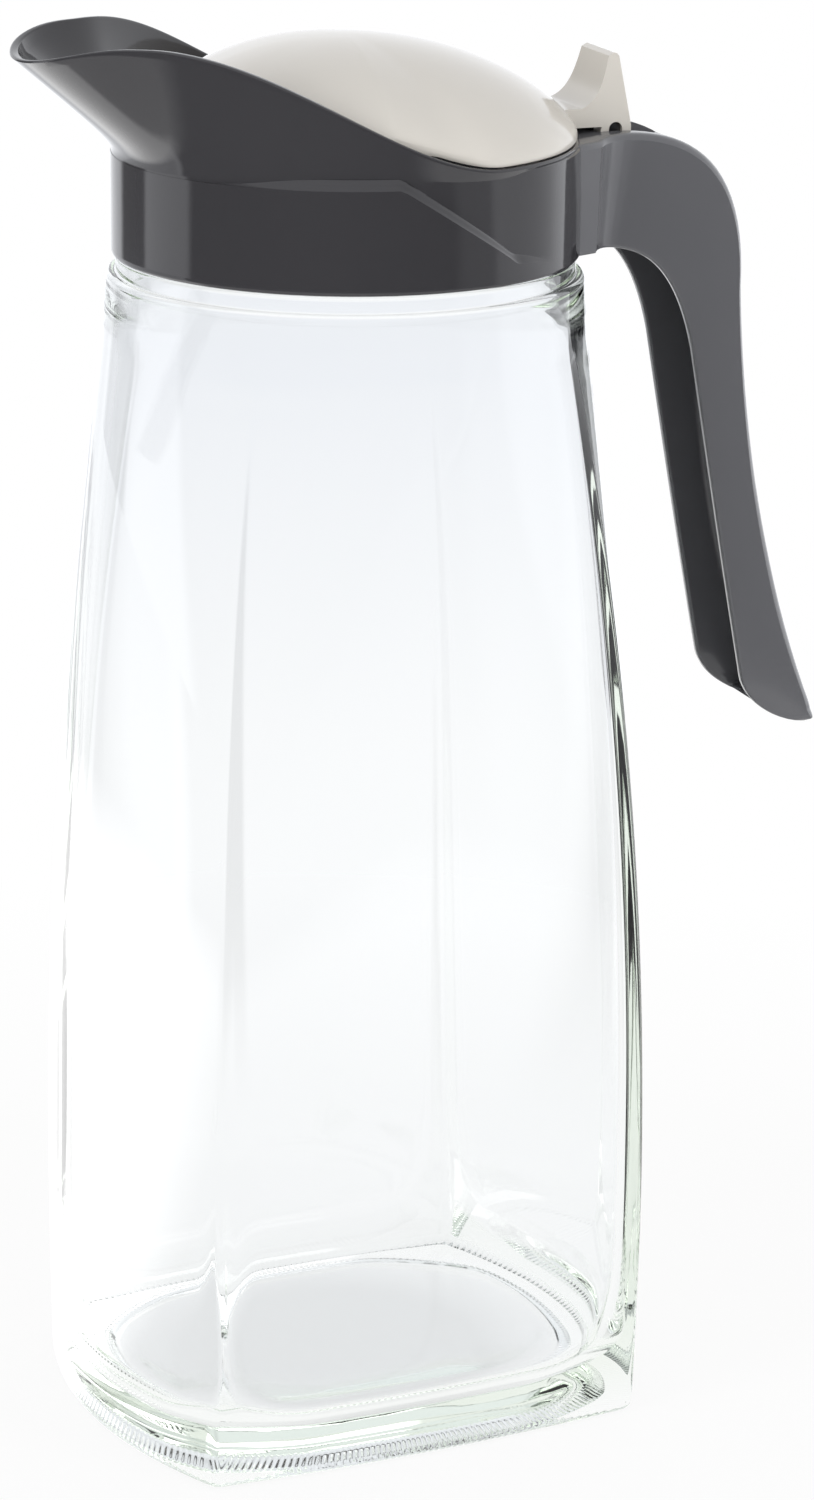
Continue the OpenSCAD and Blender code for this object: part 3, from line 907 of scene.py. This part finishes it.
side_view = (
    lever_back
    + [tuple(bezier(lever_front, 1 - k / 20)) for k in range(21)]
    + [(foot_reach, foot_top), (foot_reach, foot_bottom), (ear_front, foot_bottom)]
)
side_view = [(hinge_out + out, hinge_height + up) for out, up in side_view]
lever = outline("lid_lever", side_view + arc(pin, ear_radius, 190, 355, 16), lever_half)
for vertex in lever.data.vertices:
    rise = max(0, vertex.co.z / millimetre - hinge_height - foot_top) / (lever_height - foot_top)
    vertex.co.y *= 1 - top_taper * rise
cut(lever, outline("slot_round", arc(pin, slot_radius, 0, 345, 23), slot_half))
cut(lever, outline("slot_behind", box(0, slot_back, -slot_depth, slot_radius), slot_half))
cut(lever, outline("slot_below", box(-slot_radius, slot_overlap, -slot_depth, 0), slot_half))
cut(lever, outline("ear_bore", arc(pin, ear_bore, 0, 345, 23), lever_half + 1))
rounded = soften(lever, soft_edge, 3)
rounded.angle_limit = math.radians(35)
rounded.use_clamp_overlap = True
bpy.ops.object.modifier_apply(modifier=rounded.name)
smooth(lever, 40)
even = lever.modifiers.new("even_normals", "WEIGHTED_NORMAL")
even.keep_sharp = True
bpy.ops.object.modifier_apply(modifier=even.name)
smooth(dome, 40)

cream_moulding = plastic(
    "cream_moulding", (0.63, 0.60, 0.55), (0.69, 0.66, 0.61), flow_scale=25.0, skin_scale=300.0,
    skin_share=0.1, relief=(0.1, 0.0005), polish=0.08, dulling=0.06)
for part in (dome, lever):
    part.data.materials.append(cream_moulding)
    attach(part, "lid_body")
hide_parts("lid")

# The studio: a pale floor with soft light on it. To the camera all of it is white. The gloss and the
# glass see a room round the table instead, dark on the camera's side and slightly cool, and not the
# lamps. Near the jug the floor mirrors white, then a plain room, and far out the whole of it.
toward_camera = math.radians(-111.1)
room = [
    (-180, 1), (-141, 0.95), (-136, 0.12), (-114, 0.12), (-111, 1), (-81, 1), (-78, 0.04), (54, 0.04),
    (60, 0.3), (76, 0.34), (80, 0.75), (108, 1), (138, 1.15), (144, 1), (180, 1)]
near_room = [
    (-180, 1), (-141, 0.95), (-136, 0.75), (-88, 0.75), (-86, 1), (-84, 1), (-82, 0.1), (54, 0.1),
    (60, 0.3), (76, 0.32), (80, 0.65), (138, 0.75), (144, 0.9), (180, 1)]
left_glow = [(-180, 0.7), (-82, 0.7), (-72, 0), (176, 0), (180, 0.7)]
glass_room = [
    (-180, 1), (-169, 1), (-164, 0.84), (-154, 0.84), (-149, 1), (-136, 1), (-130, 0.88), (-108, 0.95),
    (-78, 0.72), (60, 0.72), (100, 0.9), (128, 0.8), (138, 1), (150, 1), (155, 0.84), (163, 0.84),
    (168, 1), (180, 1)]
room_strength = 1.35
glow_strength = 2
overhead_strength = 0.9
plain_white = (1, 1, 1)
cool_white = (0.95, 0.965, 1)
jug_foot = 0.05
under_jug_shade = 0.2
mid_glass_light = 0.06
foot_share = 0.92
fill_strength = 0.6

bpy.ops.object.select_all(action="DESELECT")
bpy.ops.mesh.primitive_plane_add(size=9)
floor = bpy.context.active_object
floor.name = "floor"


def past(value, start, rise):
    """0 up to a start, and from there a rise to 1."""
    return ((value - start) * rise).held()


def seen(finish, *kinds):
    """1 for rays of these kinds, 0 for others."""
    path = finish.node("ShaderNodeLightPath")
    total = Value(finish, path.outputs[kinds[0]])
    for kind in kinds[1:]:
        total = total + Value(finish, path.outputs[kind])
    return total.math("MINIMUM", 1)


def room_light(finish, x, y, levels):
    """The room's brightness, by the direction round the table; 0 degrees is towards the camera."""
    across, along = math.cos(toward_camera), math.sin(toward_camera)
    angle = (y * across - x * along).math("ARCTAN2", x * across + y * along)
    stops = [((degrees + 180) / 360, level) for degrees, level in levels]
    made = finish.node("ShaderNodeValToRGB", {"stops": stops}, {0: angle / math.tau + 0.5})
    return Value(finish, made.outputs["Color"])


paper = Finish(bpy.data.materials.new("white_paper"))
position = paper.place()
x, y = paper.axes(position)[:2]
fibre = paper.noise(position, 40.0, 3.0)
tint = paper.blend(fibre, (0.88, 0.88, 0.88), (0.9, 0.9, 0.9))
matt = paper.node("ShaderNodeBsdfDiffuse", inputs={"Color": tint})
distance = (x * x + y * y).math("SQRT")
far = past(distance, start=0.42, rise=8)
farthest = past(distance, start=1.18, rise=60)
past_foot = past(distance, start=0.16, rise=6)
mid_glass = past(distance, start=0.45, rise=1.8)
under_jug = ((jug_foot - distance) * 50).held()
through = seen(paper, "Is Transmission Ray")
mirrored = seen(paper, "Is Glossy Ray") * (1 - through)
near, behind = room_light(paper, x, y, near_room), room_light(paper, x, y, room)
reflected = (near * (1 - farthest) + behind * farthest) * room_strength
passed = room_light(paper, x, y, glass_room) + (1 - mid_glass) * mid_glass_light
glow = room_light(paper, x, y, left_glow) * (1 - far) * mirrored * glow_strength
white = 1 + glow - far * mirrored * (1 - reflected) - past_foot * through * (1 - passed)
white = white - under_jug * through * under_jug_shade
cool = (far * mirrored + mid_glass * through).math("MINIMUM", 1)
cast = paper.blend(cool, plain_white, cool_white)
lit = paper.node("ShaderNodeEmission", inputs={"Color": cast, "Strength": white})
shown = seen(paper, "Is Camera Ray", "Is Transmission Ray", "Is Glossy Ray")
shown = shown * (foot_share + past_foot * (1 - foot_share))
sheet = paper.node("ShaderNodeMixShader", inputs={0: shown, 1: matt.outputs[0], 2: lit.outputs[0]})
paper.node("ShaderNodeOutputMaterial", inputs={"Surface": sheet.outputs[0]})
floor.data.materials.append(paper.owner)

world = bpy.data.worlds.new("studio")
bpy.context.scene.world = world
air = Finish(world)
x, y, z = air.axes(air.place("Generated"))
around = room_light(air, x, y, room) * room_strength
overhead = past(z, start=0.25, rise=2)
around = around * (1 - overhead) + overhead * overhead_strength
passed = room_light(air, x, y, glass_room)
level = fill_strength + seen(air, "Is Camera Ray") * (1 - fill_strength)
through = seen(air, "Is Transmission Ray")
mirrored = seen(air, "Is Glossy Ray") * (1 - through)
strength = level * (1 - mirrored) * (1 - through) + around * mirrored + passed * through
cast = air.blend((mirrored + through).math("MINIMUM", 1), plain_white, cool_white)
sky = air.node("ShaderNodeBackground", inputs={"Color": cast, "Strength": strength})
air.node("ShaderNodeOutputWorld", inputs={"Surface": sky.outputs[0]})


def softbox(name, place, target, width, height, power):
    bpy.ops.object.light_add(type="AREA", location=place)
    lamp = bpy.context.active_object
    lamp.name = name
    lamp.data.shape = "RECTANGLE"
    lamp.data.size = width
    lamp.data.size_y = height
    lamp.data.energy = power
    lamp.visible_glossy = False
    lamp.visible_transmission = False
    lamp.rotation_euler = (Vector(target) - Vector(place)).to_track_quat("-Z", "Y").to_euler()


softbox("left_softbox", (-1.5, -0.5, 0.7), (0, 0, 0.18), 0.7, 1.1, 14)
softbox("right_softbox", (0.9, -1.3, 0.5), (0, 0, 0.18), 0.4, 0.9, 8.5)
softbox("top_softbox", (0.1, 0.3, 1.5), (0, 0, 0.15), 1.0, 1.0, 1)

# The camera stands where the photograph was taken from, a little above the lid and to the left. The
# light may pass through more faces than usual, because a sight line crosses the glass many times.
azimuth, elevation, roll = (math.radians(a) for a in (-21.12, 17.15, 0.67))
level_back = Vector((math.sin(azimuth), -math.cos(azimuth), 0))
back = level_back * math.cos(elevation) + Vector((0, 0, math.sin(elevation)))
level_right = Vector((math.cos(azimuth), math.sin(azimuth), 0))
level_up = back.cross(level_right)
right = level_right * math.cos(roll) + level_up * math.sin(roll)
up = level_up * math.cos(roll) - level_right * math.sin(roll)
bpy.ops.object.camera_add()
camera = bpy.context.active_object
camera.matrix_world = Matrix((right, up, back)).transposed().to_4x4()
camera.location = (-0.3124, -0.8453, 0.4148)
camera.data.lens = 111.64
camera.data.sensor_width = 36
camera.data.clip_start = 0.05
light_paths = bpy.context.scene.cycles
light_paths.max_bounces, light_paths.glossy_bounces, light_paths.transmission_bounces = 24, 16, 24
bpy.context.scene.camera = camera
bpy.context.scene.view_settings.view_transform = "Standard"
